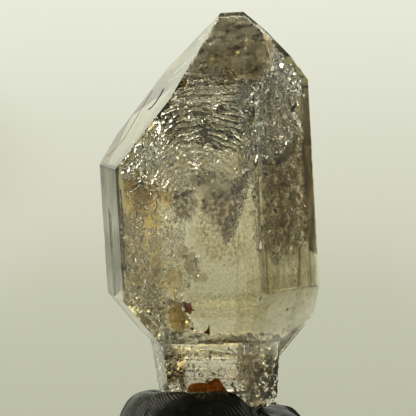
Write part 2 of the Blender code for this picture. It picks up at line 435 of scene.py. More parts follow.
def cell_corners(row, column):
    return (row, column), (row, column + 1), (row + 1, column + 1), (row + 1, column)


def add_gap(bm, spots, gaps, values=None, layer=None):
    """Adds a closed thin form over one set of spots."""
    front = {}
    back = {}
    quads = set()
    for row, column in spots:
        keys = cell_corners(row, column)
        if not all(key in spots for key in keys):
            continue
        quads.add((row, column))
        for key in keys:
            if key in front:
                continue
            near, ray = spots[key]
            front[key] = bm.verts.new(near)
            back[key] = bm.verts.new(near + ray * gaps[key] * MM)
            if layer:
                front[key][layer] = values[key]
                back[key][layer] = values[key]
    for row, column in sorted(quads):
        one, two, three, four = cell_corners(row, column)
        bm.faces.new([front[key] for key in (one, two, three, four)])
        bm.faces.new([back[key] for key in (four, three, two, one)])
        rims = (
            ((row - 1, column), one, two),
            ((row + 1, column), three, four),
            ((row, column - 1), four, one),
            ((row, column + 1), two, three),
        )
        for beyond, start, end in rims:
            if beyond not in quads:
                bm.faces.new((front[end], front[start], back[start], back[end]))


def turn_faces(bm, inward):
    """Turns the faces out, or into the air where the form is a crack."""
    bmesh.ops.recalc_face_normals(bm, faces=bm.faces)
    if inward:
        bmesh.ops.reverse_faces(bm, faces=bm.faces)


def add_film(name, outline, depth_at, material, seed, step=0.8, ragged=5.0, smooth=True, grid=None):
    """An air-filled crack inside the crystal that thins out towards its ragged edge."""
    gap = 0.05
    taper = 4

    def edge_at(px, py):
        return edge_distance(px, py, outline) + ragged * rough(px, py, 9.0, seed)

    grid = grid or square_grid(outline, step, step)
    bm = bmesh.new()
    for spots in grid_spots(grid, depth_at, edge_at, lambda px, py: gap):
        steps = border_steps(spots, taper)
        add_gap(bm, spots, {key: gap * (0.25 + 0.75 * steps[key] / taper) for key in spots})
    turn_faces(bm, True)
    add_inner(name, bm, material, smooth)


def add_veil(name, colour, grain, contrast, stretch, *patches):
    """Stained or painted-shade sheets that fade out towards their edges: outline, depth, feather and
    step.
    """
    gap = 0.12
    bm = bmesh.new()
    layer = bm.verts.layers.float.new("veil")
    for seed, (outline, depth, feather, step) in enumerate(patches):
        def depth_at(px, py, depth=depth, seed=seed):
            return depth + 0.15 * depth * rough(px, py, 30.0, seed, 2)

        def edge_at(px, py, outline=outline, feather=feather, seed=seed):
            return edge_distance(px, py, outline) + 0.4 * feather * rough(px, py, 12.0, seed, 3)

        grid = square_grid(outline, step, step)
        for spots in grid_spots(grid, depth_at, edge_at, lambda px, py: gap, margin=0.06):
            values = {}
            for row, column in spots:
                edge = edge_at(*grid[row][column])
                values[row, column] = min(1.0, max(0.0, edge / feather))
            add_gap(bm, spots, dict.fromkeys(spots, gap), values, layer)
    turn_faces(bm, False)
    add_inner(name, bm, veil_material(name, colour, grain, contrast, stretch))


def add_lump(name, outline, depth, thickness, feather, material, seed, step=0.6):
    """A solid grain: an outline over the photo, swelling from its edge towards its middle."""
    def edge_at(px, py):
        return edge_distance(px, py, outline)

    def half(px, py):
        swell = math.sqrt(min(1.0, max(0.0, edge_at(px, py)) / feather + 0.02))
        return thickness / 2 * swell * (1.0 + 0.3 * rough(px, py, 5.0, seed))

    def depth_at(px, py):
        return depth - half(px, py)

    def room_at(px, py):
        return 2 * half(px, py)

    grid = square_grid(outline, step, step)
    middle = [sum(values) / len(outline) for values in zip(*outline)]
    spots = grid_spots(grid, depth_at, edge_at, room_at, look(*middle)[2])[0]
    bm = bmesh.new()
    add_gap(bm, spots, {(row, column): room_at(*grid[row][column]) for row, column in spots})
    turn_faces(bm, False)
    add_inner(name, bm, material)


# Grains, flakes and threads.


def random_spot(chance, outline):
    xs = [x for x, _ in outline]
    ys = [y for _, y in outline]
    while True:
        px = chance.uniform(min(xs), max(xs))
        py = chance.uniform(min(ys), max(ys))
        if edge_distance(px, py, outline) > 0.0:
            return px, py


def random_vector(chance, spread):
    return Vector((chance.gauss(0, spread), chance.gauss(0, spread), chance.gauss(0, spread)))


def speck_corners(chance, size):
    """An uneven eight-sided grain's corners, in the photo's pixels."""
    pivot = random_vector(chance, 1.0).normalized()
    turn = Matrix.Rotation(chance.uniform(0.0, math.tau), 3, pivot)
    corners = []
    for axis in range(3):
        for side in (-1, 1):
            corner = Vector((0.0, 0.0, 0.0))
            corner[axis] = side * size * chance.uniform(0.5, 1.2)
            corners.append(turn @ corner)
    return corners


SPECK_FACES = (
    (0, 2, 4), (2, 1, 4), (1, 3, 4), (3, 0, 4), (2, 0, 5), (1, 2, 5), (3, 1, 5), (0, 3, 5),
)


def add_specks(name, material, seed, *zones):
    """Fine grains strewn through zones: outline, count, sizes in pixels and depths in mm."""
    chance = random.Random(seed)
    bm = bmesh.new()
    for outline, count, low, high, near, far in zones:
        for _ in range(count):
            px, py = random_spot(chance, outline)
            corners = speck_corners(chance, low + (high - low) * chance.random() ** 3)
            middle = inside(px, py, chance.uniform(near, far), 0.3)
            if middle is None:
                continue
            verts = [bm.verts.new(middle + corner * PIXEL) for corner in corners]
            for face in SPECK_FACES:
                bm.faces.new([verts[index] for index in face])
    turn_faces(bm, False)
    add_inner(name, bm, material, False)


def mirror_tip(px, py, middle, light, wall, jitter):
    """How a flake faces to mirror a light to the camera; the light comes in by a wall."""
    way = -bend((middle - Vector(light)).normalized(), wall, 1.0 / QUARTZ_IOR)
    return (way - look(px, py)[1] + jitter).normalized()


def add_flake(bm, middle, tip, spin, size, long, reach):
    """A flat crack with an uneven edge; long stretches it one way."""
    gap = 0.03 * MM
    axis = Vector((math.cos(spin) / long, 0.0, math.sin(spin) * long))
    across = tip.cross(axis).normalized()
    along = tip.cross(across)
    sides = len(reach)
    rings = []
    for offset in (gap / 2, -gap / 2):
        ring = []
        for index, share in enumerate(reach):
            angle = math.tau * index / sides
            upward = along * (math.cos(angle) * share * long)
            spot = upward + across * (math.sin(angle) * share / long)
            ring.append(bm.verts.new(middle + spot * size + tip * offset))
        rings.append(ring)
    upper, lower = rings
    bm.faces.new(upper)
    bm.faces.new(lower[::-1])
    for index in range(sides):
        after = (index + 1) % sides
        bm.faces.new((upper[after], upper[index], lower[index], lower[after]))


def add_flakes(name, material, seed, mirrored, *zones):
    """Small flat cracks, tipped every way or to mirror one light, as one mesh.

    A zone is an outline, a count, sizes in pixels, depths in mm, and how long they are.
    """
    chance = random.Random(seed)
    bm = bmesh.new()
    for outline, count, low, high, near, far, long in zones:
        for _ in range(count):
            px, py = random_spot(chance, outline)
            size = (low + (high - low) * chance.random() ** 2) / 2 * PIXEL
            depth = chance.uniform(near, far)
            tip = Vector((chance.gauss(0, 0.8), -1.0, chance.gauss(0, 0.8))).normalized()
            jitter = random_vector(chance, 0.08)
            spin = chance.uniform(0.0, math.tau)
            sides = chance.randint(5, 8)
            reach = [chance.uniform(0.55, 1.15) for _ in range(sides)]
            middle = inside(px, py, depth, 0.3 + size / MM)
            if middle is None:
                continue
            if mirrored:
                tip = mirror_tip(px, py, middle, *mirrored, jitter)
            add_flake(bm, middle, tip, spin, size, long, reach)
    turn_faces(bm, True)
    add_inner(name, bm, material, False)


def add_threads(name, material, inward, *threads):
    """Thin lines inside the crystal: each is a path over the photo, a depth and a width in mm."""
    bm = bmesh.new()
    for path, depth, width in threads:
        rings = []
        for px, py in path:
            start, ray = photo_ray(px, py)
            hit, normal, _, _ = SURFACE.ray_cast(start, ray)
            if hit is None:
                continue
            middle = hit + bend(ray, normal, 1.0 / QUARTZ_IOR) * depth * MM
            ring = []
            for corner in range(4):
                angle = math.tau * (corner + 0.5) / 4
                side = Vector((math.cos(angle), 0.0, math.sin(angle)))
                ring.append(bm.verts.new(middle + side * width / 2 * MM))
            rings.append(ring)
        for first, second in zip(rings, rings[1:]):
            for corner in range(4):
                after = (corner + 1) % 4
                bm.faces.new((first[corner], first[after], second[after], second[corner]))
        bm.faces.new(rings[0])
        bm.faces.new(rings[-1])
    turn_faces(bm, inward)
    add_inner(name, bm, material, False)


# Outlines of what the photo shows inside the crystal, in the photo's pixels.
RIPPLE = (
    (186, 77), (238, 79), (250, 120), (252, 165), (238, 184), (214, 182), (204, 194), (160, 190),
    (150, 165), (156, 125),
)
STREAK = ((156, 116), (166, 132), (164, 160), (152, 186), (122, 180), (120, 164))
SHARD = (
    (234, 78), (262, 70), (296, 86), (300, 120), (294, 150), (284, 166), (264, 158), (254, 182),
    (240, 178), (242, 130),
)
CROWN = ((256, 46), (264, 42), (304, 76), (304, 100), (262, 86))
PEAK = ((184, 78), (196, 56), (214, 40), (256, 40), (268, 60), (262, 84), (184, 96))
PEAK_TOP = ((206, 4), (252, 4), (274, 38), (272, 70), (262, 80), (184, 78), (192, 56))
WHITE_PATCH = (
    (150, 211), (157, 207), (163, 210), (172, 209), (178, 217), (174, 226), (166, 229), (160, 224),
    (153, 226),
)
PLATE = (
    (126, 192), (140, 186), (156, 189), (166, 185), (174, 196), (172, 209), (156, 214), (130, 217),
)
NECK_HAZE = ((146, 324), (206, 332), (280, 332), (280, 354), (150, 354))
CORNER = ((260, 296), (326, 282), (324, 310), (286, 360), (260, 346))
SIDE = (
    (262, 150), (300, 120), (307, 170), (308, 246), (290, 250), (276, 268), (264, 250), (263, 200),
)
GOLD = (
    (117, 206), (126, 212), (144, 216), (148, 232), (144, 244), (152, 262), (146, 276), (124, 270),
    (118, 235),
)
SILVER = (
    (148, 226), (166, 230), (180, 224), (186, 232), (184, 244), (172, 250), (160, 262), (148, 248),
)
MOTTLE = (
    (186, 224), (224, 226), (256, 176), (312, 240), (320, 286), (300, 318), (262, 342), (206, 344),
    (180, 300),
)
STRIP_FOOT = ((112, 257), (121, 256), (122, 290), (116, 294), (112, 284))
ROCK = (
    (122, 262), (148, 270), (168, 250), (196, 244), (202, 272), (180, 300), (200, 332), (160, 332),
    (130, 300),
)
CALM = (
    (186, 222), (224, 238), (250, 190), (256, 184), (263, 293), (258, 304), (196, 302), (186, 262),
)
NECK = ((150, 326), (206, 334), (262, 334), (262, 352), (152, 352))
STEM = ((156, 348), (276, 344), (276, 410), (160, 392))
BROWN = (
    (196, 208), (204, 196), (222, 188), (236, 180), (247, 171), (251, 180), (245, 208), (238, 228),
    (226, 249), (217, 236), (206, 222),
)
BLUE = ((184, 176), (206, 166), (240, 172), (244, 190), (226, 206), (196, 204))
AMBER = (
    (122, 176), (150, 160), (178, 186), (186, 214), (170, 250), (160, 290), (126, 290), (120, 240),
)
OLIVE = (
    (258, 160), (280, 150), (300, 110), (308, 160), (310, 240), (296, 262), (263, 250), (260, 190),
)
SMOKE = (
    (160, 110), (186, 74), (250, 60), (300, 90), (300, 150), (262, 176), (240, 200), (160, 196),
    (140, 160),
)
STRIP = ((97, 162), (119, 164), (124, 290), (110, 300), (98, 240))
EDGE = ((300, 84), (316, 76), (324, 200), (324, 262), (308, 250), (301, 160))
LOWER_RIPPLE = (
    (150, 150), (170, 146), (214, 146), (232, 156), (226, 176), (204, 182), (186, 200), (170, 206),
    (152, 190),
)
DARK_EDGE = ((119, 196), (124, 204), (126, 232), (129, 262), (126, 268), (120, 236))
SIDE_LOW = ((259.5, 180), (300, 130), (314, 180), (318, 284), (263, 294))
STEM_LEFT = ((154, 344), (186, 346), (188, 384), (158, 390))
STEM_RIGHT = ((240, 342), (277, 342), (276, 412), (252, 412), (244, 392))
LUMP_A = (
    (160, 281), (165, 277), (168, 269), (176, 267), (182, 272), (183, 282), (179, 290), (178, 298),
    (171, 297), (167, 288), (159, 287),
)
LUMP_B = (
    (168, 311), (173, 306), (181, 309), (189, 317), (191, 326), (186, 333), (176, 333), (170, 325),
)
LUMP_C = ((154, 306), (158, 301), (164, 302), (170, 308), (172, 320), (166, 324), (157, 314))
RUST_STAR = (
    (184, 301), (188, 303), (192, 302), (191.5, 305.5), (195.5, 308), (191.5, 309.5),
    (190.5, 313.5), (186, 312), (182.5, 311), (184.5, 307), (181.5, 304),
)
RUST_WEDGE = ((209.8, 322.7), (210.2, 336), (203.6, 332.6), (207, 329))
IRON_CHUNK = (
    (187.2, 385.3), (191.6, 381.5), (198, 380.5), (207, 380.8), (212, 377.7), (215.6, 375),
    (221, 379), (224.8, 385.3), (232.5, 391.7), (236, 400), (186, 400),
)
PALE_BLOB = ((126, 293), (129, 290), (133, 293), (134, 299), (130, 303), (126, 299))
DUST = (
    (186, 200), (206, 190), (236, 182), (240, 190), (236, 222), (254, 250), (236, 270), (204, 262),
    (190, 236),
)


def mixed(px, py, total, parts):
    """A value with rough noises added: each has a share, a size, a seed and its octaves."""
    for share, size, seed, octaves in parts:
        total += share * rough(px, py, size, seed, octaves)
    return total


def grooves(depth, middle, squeeze, pitch, bends, width, relief, broad, fine=None):
    """A depth in mm over the photo: narrow curved grooves round a middle, on broad waves.

    The bends shift the grooves and the relief, a share, limits, a size and a seed, varies
    their height. Where fine is given, it adds flats by a share, a size and a seed.
    """
    strength, least, most, size, seed = relief

    def depth_at(px, py):
        reach = math.hypot((px - middle[0]) / squeeze[0], (py - middle[1]) / squeeze[1])
        wave = mixed(px, py, reach / pitch, bends)
        share = abs(wave - math.floor(wave) - 0.5)
        groove = max(0.0, 1.0 - share / width)
        height = strength * min(most, max(least, 0.9 + 1.6 * rough(px, py, size, seed, 3)))
        found = depth + height * groove + mixed(px, py, 0.0, broad)
        return found + fine[0] * shards(px, py, *fine[1:]) if fine else found
    return depth_at


def crumple(base, size, height, seed, stretch=(1.0, 1.0), fine=0.8):
    """A depth in mm over the photo, made of small tipped flats on a broad wave."""
    def depth_at(px, py):
        x = px / stretch[0]
        y = py / stretch[1]
        relief = shards(x, y, size, seed) + fine * shards(x, y, size * 0.45, seed + 4.0)
        return base + height * relief + 0.8 * rough(px, py, 38.0, seed, 2)
    return depth_at


def waves(base, size, height, seed, octaves=4):
    return lambda px, py: base + height * rough(px, py, size, seed, octaves)


def slanted(depth_at, angle):
    """The same relief with its pattern turned over the photo."""
    cosine = math.cos(angle)
    sine = math.sin(angle)
    return lambda px, py: depth_at(cosine * px + sine * py, cosine * py - sine * px)


def edgewise(depth_at):
    """The same relief, closer to the face towards the left edge."""
    return lambda px, py: depth_at(px, py) * min(1.0, max(0.15, (px - 116.0) / 16.0))


# The middle of the curved ripples, and how narrow they are for their height.
RIPPLE_MIDDLE = (202.0, 192.0)
RIPPLE_SQUEEZE = 0.95


def ripple_grid():
    """Half-rings of pixels that follow the ripples."""
    last = 149
    rows = []
    for row in range(250):
        reach = 8 + 0.47 * row
        line = []
        for column in range(last + 1):
            angle = math.radians(-182 + 184 * column / last)
            px = RIPPLE_MIDDLE[0] + RIPPLE_SQUEEZE * reach * math.cos(angle)
            line.append((px, RIPPLE_MIDDLE[1] + reach * math.sin(angle)))
        rows.append(line)
    return rows


RIPPLES = grooves(
    4.6, RIPPLE_MIDDLE, (RIPPLE_SQUEEZE, 1.0), 6.0, ((0.9, 40.0, 3.0, 2), (0.5, 11.0, 5.0, 2)), 0.27,
    (0.36, 0.1, 1.6, 15.0, 8.0), ((0.7, 24.0, 1.0, 2), (0.16, 6.0, 2.0, 2)), (0.05, 2.6, 9.0),
)
LOWER_RIPPLES = grooves(
    3.4, (190.0, 222.0), (1.0, 1.15), 4.6, ((0.8, 26.0, 43.0, 2), (0.3, 8.0, 45.0, 2)), 0.34,
    (0.40, 0.15, 1.5, 11.0, 48.0), ((0.6, 20.0, 41.0, 2),), (0.08, 2.6, 49.0),
)
SILVER_SWIRL = grooves(
    3.0, (158.0, 224.0), (1.0, 1.2), 3.6, ((1.1, 14.0, 52.0, 3),), 0.4,
    (0.22, 0.1, 1.6, 9.0, 57.0), ((0.4, 14.0, 55.0, 3),),
)


def add_cracks():
    clear = crack_material("clear_crack", (0.96, 0.93, 0.86), 0.04)
    smoky = crack_material("smoky_crack", (0.80, 0.72, 0.55), 0.12)
    golden = crack_material("golden_crack", (0.97, 0.86, 0.60), 0.04)
    frost = frost_material("frosted_crack", (0.86, 0.79, 0.58), 0.20, 0.40)
    haze = frost_material("hazy_crack", (0.92, 0.89, 0.78), 0.08, 0.24)
    lower_grid = square_grid(LOWER_RIPPLE, 0.8, 0.5)
    streaks = slanted(crumple(3.6, 6.0, 0.30, 12.0, (0.7, 2.4)), math.radians(35))
    flats = edgewise(crumple(3.4, 5.0, 0.5, 51.0, (0.9, 1.3), 0.6))
    side = crumple(4.2, 6.0, 0.24, 41.0, (0.8, 1.6))
    add_film("ripple_crack", RIPPLE, RIPPLES, clear, 2.0, grid=ripple_grid())
    add_film("lower_ripple", LOWER_RIPPLE, LOWER_RIPPLES, clear, 2.5, grid=lower_grid)
    add_film("streak_crack", STREAK, streaks, clear, 3.0)
    add_film("shard_crack", SHARD, crumple(5.0, 7.0, 0.42, 11.0), clear, 4.0, 0.7, smooth=False)
    add_film("crown_crack", CROWN, crumple(3.0, 8.0, 0.38, 21.0), clear, 5.0, smooth=False)
    add_film("peak_frost", PEAK_TOP, waves(0.7, 11.0, 0.16, 33.0), frost, 14.0, 1.0, 3.0)
    add_film("neck_haze", NECK_HAZE, waves(0.7, 6.0, 0.2, 73.0), haze, 18.0, 0.9, 3.0)
    add_film("peak_crack", PEAK, waves(6.0, 15.0, 0.3, 31.0), haze, 6.0, 1.0, 3.0)
    add_film("side_crack", SIDE, side, smoky, 7.0, 0.7, 4.0, False)
    add_film("gold_crack", GOLD, flats, golden, 8.0, 0.7)
    add_film("plate_crack", PLATE, waves(2.3, 12.0, 0.3, 71.0), golden, 17.0, ragged=3.0)
    add_film("white_crack", WHITE_PATCH, crumple(2.6, 4.5, 0.12, 75.0), clear, 19.0, 0.7, 3.0)
    add_film("silver_crack", SILVER, SILVER_SWIRL, haze, 8.5, 0.6)
    add_film("rock_crack", ROCK, crumple(4.4, 5.5, 0.26, 61.0), clear, 9.0)
    add_film("blue_frost", BLUE, waves(3.0, 16.0, 0.3, 35.0, 3), haze, 15.0, 1.2, 4.0)
    add_film("corner_frost", CORNER, waves(0.55, 9.0, 0.08, 37.0), haze, 16.0, ragged=1.0)
    add_film("neck_crack", NECK, waves(2.6, 6.0, 0.24, 81.0), clear, 11.0)
    add_film("stem_crack", STEM, waves(3.2, 9.0, 0.5, 91.0, 5), clear, 12.0)


def add_veils():
    """The stains and the painted shade: a colour, the grain's scale, its contrast and stretch, and the
    patches.
    """
    amber_stretch = (1.2, 1.2, 0.6)
    add_veil("amber_veil", (0.965, 0.91, 0.80), 300.0, 0.4, amber_stretch, (AMBER, 2.2, 12.0, 2.0))
    add_veil(
        "deep_amber_veil", (0.93, 0.84, 0.68), 300.0, 0.6, amber_stretch,
        (((127, 194), (140, 188), (154, 192), (156, 206), (148, 214), (130, 216)), 1.8, 3.0, 1.0),
        (((154, 190), (166, 186), (173, 196), (171, 208), (160, 205)), 2.0, 2.5, 1.0),
    )
    add_veil(
        "edge_shade", (0.30, 0.19, 0.07), 900.0, 0.6, (1.0, 1.0, 0.4),
        (DARK_EDGE, 1.2, 2.5, 1.0),
        (STRIP_FOOT, 0.6, 2.0, 1.0),
    )
    add_veil(
        "brown_veil", (0.17, 0.115, 0.05), 1700.0, 0.62, WHITE,
        (BROWN, 3.0, 9.0, 1.5),
        (((170, 190), (190, 188), (200, 200), (192, 228), (174, 218)), 3.2, 5.0, 1.5),
        (((246, 62), (256, 58), (262, 70), (256, 78), (248, 76)), 2.0, 2.5, 1.0),
    )
    add_veil("blue_veil", (0.38, 0.38, 0.37), 500.0, 0.5, WHITE, (BLUE, 2.4, 12.0, 2.0))
    add_veil("olive_veil", (0.52, 0.42, 0.26), 900.0, 0.85, (1.0, 1.0, 0.6), (OLIVE, 1.9, 9.0, 1.2))
    add_veil(
        "dusk_veil", (0.50, 0.47, 0.38), 900.0, 0.35, (1.0, 1.0, 0.35),
        (SIDE_LOW, 1.2, 1.5, 1.0),
    )
    add_veil("smoke_veil", (0.61, 0.54, 0.41), 380.0, 0.6, WHITE, (SMOKE, 6.6, 16.0, 2.5))
    add_veil("peak_veil", (0.88, 0.84, 0.72), 380.0, 0.4, WHITE, (PEAK_TOP, 0.3, 2.0, 1.5))
    add_veil(
        "peak_shade", (0.55, 0.55, 0.51), 700.0, 0.5, WHITE,
        (((196, 40), (268, 38), (272, 70), (262, 80), (184, 80)), 0.6, 8.0, 1.5),
    )
    add_veil(
        "dust_veil", (0.60, 0.52, 0.37), 2200.0, 0.9, WHITE,
        (DUST, 4.4, 9.0, 1.5),
        (STEM_RIGHT, 1.6, 6.0, 2.0),
        (STEM_LEFT, 1.6, 6.0, 2.0),
    )
    # Painted shade: a near-black sheet just under the narrow left face, darkening all that is seen
    # through it.
    add_veil("strip_painted_shade", (0.14, 0.15, 0.10), 900.0, 0.4, (1.0, 1.0, 0.15), (STRIP, 0.6, 1.5, 1.0))
    add_veil("edge_veil", (0.16, 0.10, 0.03), 700.0, 0.5, (1.0, 1.0, 0.2), (EDGE, 0.65, 2.0, 0.8))
    add_veil(
        "band_veil", (0.52, 0.37, 0.17), 700.0, 0.5, (1.0, 1.0, 0.2),
        (((299, 104), (312, 90), (317, 200), (314, 252), (302, 240), (300, 180)), 1.5, 2.0, 1.0),
    )
    add_veil(
        "mottle_veil", (0.80, 0.77, 0.64), 2600.0, 0.8, WHITE,
        (MOTTLE, 6.0, 5.0, 2.0),
        (ROCK, 3.2, 8.0, 2.0),
    )
    add_veil(
        "plate_veil", (0.55, 0.52, 0.42), 500.0, 0.3, WHITE,
        (((151, 258), (157, 254), (162, 262), (162, 274), (154, 278), (150, 270)), 2.6, 1.5, 0.8),
        (((176, 248), (182, 243), (188, 247), (189, 258), (180, 260), (175, 256)), 2.6, 1.0, 0.8),
        (((186, 254), (194, 252), (199, 260), (197, 272), (188, 276), (182, 266)), 3.0, 1.5, 0.8),
        (((192, 273), (206, 272), (209, 277), (206, 282), (194, 283)), 2.2, 0.8, 0.7),
    )


def add_lumps(rust):
    clay = solid_material("clay", (1.0, 0.90, 0.66), (0.96, 0.76, 0.44), 1100.0, 0.4, 0.95)
    pale = solid_material("pale_clay", (1.0, 0.94, 0.74), (0.97, 0.82, 0.53), 1100.0, 0.4, 0.95)
    milky = solid_material("milky_patch", (1.0, 0.99, 0.94), (1.0, 0.94, 0.76), 1400.0, 0.35, 0.98)
    iron = solid_material("iron_stone", (0.75, 0.25, 0.04), (0.25, 0.06, 0.01), 520.0, 0.45, 0.4)
    add_lump("clay_lump_a", LUMP_A, 3.6, 2.2, 5.0, pale, 2.0)
    add_lump("clay_lump_b", LUMP_B, 3.0, 3.0, 8.0, clay, 3.0)
    add_lump("clay_lump_c", LUMP_C, 3.4, 1.8, 6.0, pale, 4.0)
    add_lump("pale_blob", PALE_BLOB, 1.0, 0.5, 3.0, milky, 10.0)
    add_lump("rust_star", RUST_STAR, 1.6, 0.25, 1.0, rust, 5.0, 0.4)
    add_lump("rust_wedge", RUST_WEDGE, 1.2, 0.25, 1.0, rust, 6.0, 0.4)
    add_lump("iron_chunk", IRON_CHUNK, 2.2, 2.4, 6.0, iron, 7.0, 0.5)


def add_dust(dark):
    red = solid_material("red_dust", (0.62, 0.13, 0.03), (0.30, 0.05, 0.01), 1500.0, 0.6)
    white = solid_material("white_dust", (0.9, 0.88, 0.8), (0.7, 0.66, 0.55), 1500.0, 0.6)
    jagged = (
        (230, 180), (248, 172), (250, 184), (243, 212), (236, 232), (226, 246), (220, 230), (234, 205),
    )
    middle = ((188, 210), (256, 180), (263, 292), (190, 300))
    left = ((124, 180), (185, 190), (186, 240), (160, 290), (122, 280))
    whole = (
        (104, 170), (184, 76), (236, 20), (302, 80), (314, 280), (262, 330), (160, 330), (112, 290),
    )
    add_specks(
        "dark_specks", dark, 5,
        (jagged, 1800, 0.3, 1.0, 2.4, 4.2),
        (((170, 192), (188, 192), (186, 226), (172, 222)), 500, 0.25, 0.9, 2.4, 4.5),
        (left, 140, 0.3, 1.0, 2.0, 5.0),
        (middle, 700, 0.2, 0.6, 1.5, 7.0),
        (whole, 900, 0.2, 0.7, 1.0, 9.0),
    )
    add_specks(
        "red_specks", red, 6,
        (jagged, 30, 0.4, 1.2, 2.2, 3.2),
        (middle, 26, 0.25, 0.8, 1.5, 6.0),
        (((262, 296), (306, 290), (290, 322), (262, 334)), 26, 0.25, 0.8, 1.0, 3.0),
        (whole, 60, 0.2, 0.6, 1.0, 6.0),
    )
    add_specks(
        "white_specks", white, 7,
        (whole, 500, 0.15, 0.5, 1.0, 9.0),
        (middle, 250, 0.15, 0.45, 1.5, 7.0),
    )


def add_lines(rust, dark):
    """Rusty and dark threads; those with a depth below zero lie on the upper left face."""
    pale_rust = solid_material("pale_rust", (0.70, 0.46, 0.34), (0.56, 0.33, 0.22), 1200.0, 0.6)
    edge_line = ((152, 91), (143.6, 105), (134.5, 121), (125, 137), (117, 147), (107, 156.5))
    add_threads(
        "rust_threads", rust, False,
        (((243, 180), (247, 186), (252, 189)), 2.0, 0.12),
        (((240, 196), (244, 199), (247, 198)), 2.0, 0.2),
        (((204, 232.5), (206, 235), (208, 235.5)), 1.5, 0.16),
    )
    add_threads("edge_line", pale_rust, False, (edge_line, -0.02, 0.09))
    add_threads(
        "dark_threads", dark, False,
        (((163.5, 89), (160, 96), (156, 102), (152, 107), (148.5, 109.5)), -0.03, 0.14),
        (((141, 176), (143, 184), (146, 193)), 2.4, 0.18),
        (((152, 183), (156, 186), (168, 190)), 2.4, 0.12),
        (((156, 200), (157, 206), (155, 212)), 2.4, 0.2),
        (((120.5, 190), (122.5, 214), (123.5, 240), (124.5, 262), (127, 276)), 1.2, 0.22),
    )


def add_grains():
    rust = solid_material("rust", (0.33, 0.10, 0.02), (0.13, 0.04, 0.01), 1200.0, 0.6)
    dark = solid_material("dark_dust", (0.06, 0.055, 0.03), (0.02, 0.018, 0.012), 1500.0, 0.7)
    add_lumps(rust)
    add_dust(dark)
    add_lines(rust, dark)


def add_glints():
    """Small mirrors: flakes strewn in the cracked parts, and the thin bright lines."""
    clear = crack_material("glint_wall", (0.98, 0.95, 0.88), 0.0)
    golden = crack_material("golden_glint", (0.98, 0.86, 0.56), 0.0)
    add_flakes(
        "glints", clear, 11, None,
        (SHARD, 500, 1.5, 8.0, 0.8, 7.0, 1.6),
        (SHARD, 60, 8.0, 20.0, 0.6, 3.0, 1.6),
        (CROWN, 30, 6.0, 16.0, 0.5, 2.5, 1.6),
        (CROWN, 140, 1.5, 8.0, 0.6, 5.0, 1.3),
        (RIPPLE, 160, 1.2, 5.0, 1.0, 6.0, 1.3),
        (SIDE, 260, 1.5, 8.0, 0.8, 4.0, 1.5),
        (STREAK, 120, 1.5, 7.0, 0.8, 4.0, 1.5),
        (PEAK, 30, 1.5, 7.0, 1.5, 7.0, 1.2),
        (STEM, 160, 1.2, 6.0, 0.6, 4.0, 1.3),
        (SILVER, 400, 1.0, 4.0, 0.8, 2.8, 2.0),
        (ROCK, 200, 1.2, 6.0, 1.0, 5.0, 1.2),
        (CALM, 16, 1.0, 4.0, 1.5, 8.0, 1.2),
    )
    add_flakes(
        "left_glints", clear, 13, (LEFT_LIGHT, upper_left_wall()),
        (STREAK, 60, 0.8, 2.6, 0.8, 3.5, 2.4),
        (RIPPLE, 60, 0.8, 2.2, 1.0, 4.0, 2.4),
    )
    add_threads(
        "line_glints", clear, True,
        (((283, 244), (285, 252), (287, 260), (289.5, 267)), 1.2, 0.16),
        (((294.6, 266), (297, 268), (299.7, 272)), 1.2, 0.14),
        (((278, 180), (290, 182), (290, 196), (279, 195), (278, 180)), 1.4, 0.10),
        (((212, 353), (215, 344), (224, 339), (236, 340), (244, 346), (246, 353)), 1.6, 0.12),
        (((214, 353), (218, 346), (226, 342), (235, 343), (241, 348), (243, 353)), 1.6, 0.10),
        (((206, 240), (210, 238), (213, 233)), 1.6, 0.3),
        (((245, 289), (247, 285)), 1.6, 0.25),
        (((127, 300), (130, 301)), 0.8, 0.35),
        (((186, 303), (210, 300), (238, 302), (262, 297)), 5.0, 0.08),
        (((184, 78), (200, 75.5), (214, 77), (232, 76), (240, 78)), 1.4, 0.22),
    )
    add_flakes(
        "golden_glints", golden, 12, None,
        (GOLD, 700, 1.2, 5.0, 0.4, 3.2, 1.8),
        (PLATE, 160, 1.2, 5.0, 0.8, 4.0, 1.8),
        (((150, 208), (176, 208), (180, 226), (168, 232), (150, 226)), 60, 1.0, 4.0, 0.8, 2.8, 2.0),
        (STEM_LEFT, 50, 1.2, 6.0, 0.6, 3.0, 1.8),
    )


def upper_left_wall():
    """The normal of the crystal's upper left face, by its azimuth and its height."""
    azimuth = math.radians(-78)
    height = math.radians(38)
    level = math.cos(height)
    return Vector((math.sin(azimuth) * level, -math.cos(azimuth) * level, math.sin(height)))


# The putty: how many points it has round the foot, and from its top to its base.
PUTTY_AROUND = 460
PUTTY_ALONG = 130
# The finger ridges pressed into it, in mm.
RIDGE_PITCH = 0.46
RIDGE_HEIGHT = 0.05
# In mm: how high its middle is, a first guess of its top, below which height the crystal
# counts as the foot, how far the putty stays off the foot, and how wide its rim is.
PUTTY_MIDDLE = 2.5
PUTTY_TOP = 9.0
FOOT_TOP = 11
PUTTY_GRIP = 0.05
RIM_WIDTH = 0.45
# How far out the rays that find its outline and its base start, in metres.
RAY_START = 0.03
BASE_START = 0.05


def putty_angles():
    """Directions round the putty, closer together towards the front."""
    angles = []
    for index in range(PUTTY_AROUND):
        even = math.tau * index / PUTTY_AROUND
        angles.append(even + 0.45 * math.cos(even))
    return angles


def direction(angle):
    return Vector((math.cos(angle), math.sin(angle), 0.0))


def upright(height):
    return Vector((0.0, 0.0, height))


def ray_point(tree, start, aim):
    hit, _, _, _ = tree.ray_cast(start, (aim - start).normalized())
    return hit


def foot_wall(axis, out, height):
    """How far the foot's side is from its axis, at a height or at the nearest one above."""
    while True:
        hit, _, _, reach = SURFACE.ray_cast(axis + upright(height), out)
        if hit is not None:
            return reach
        height += 0.3 * MM


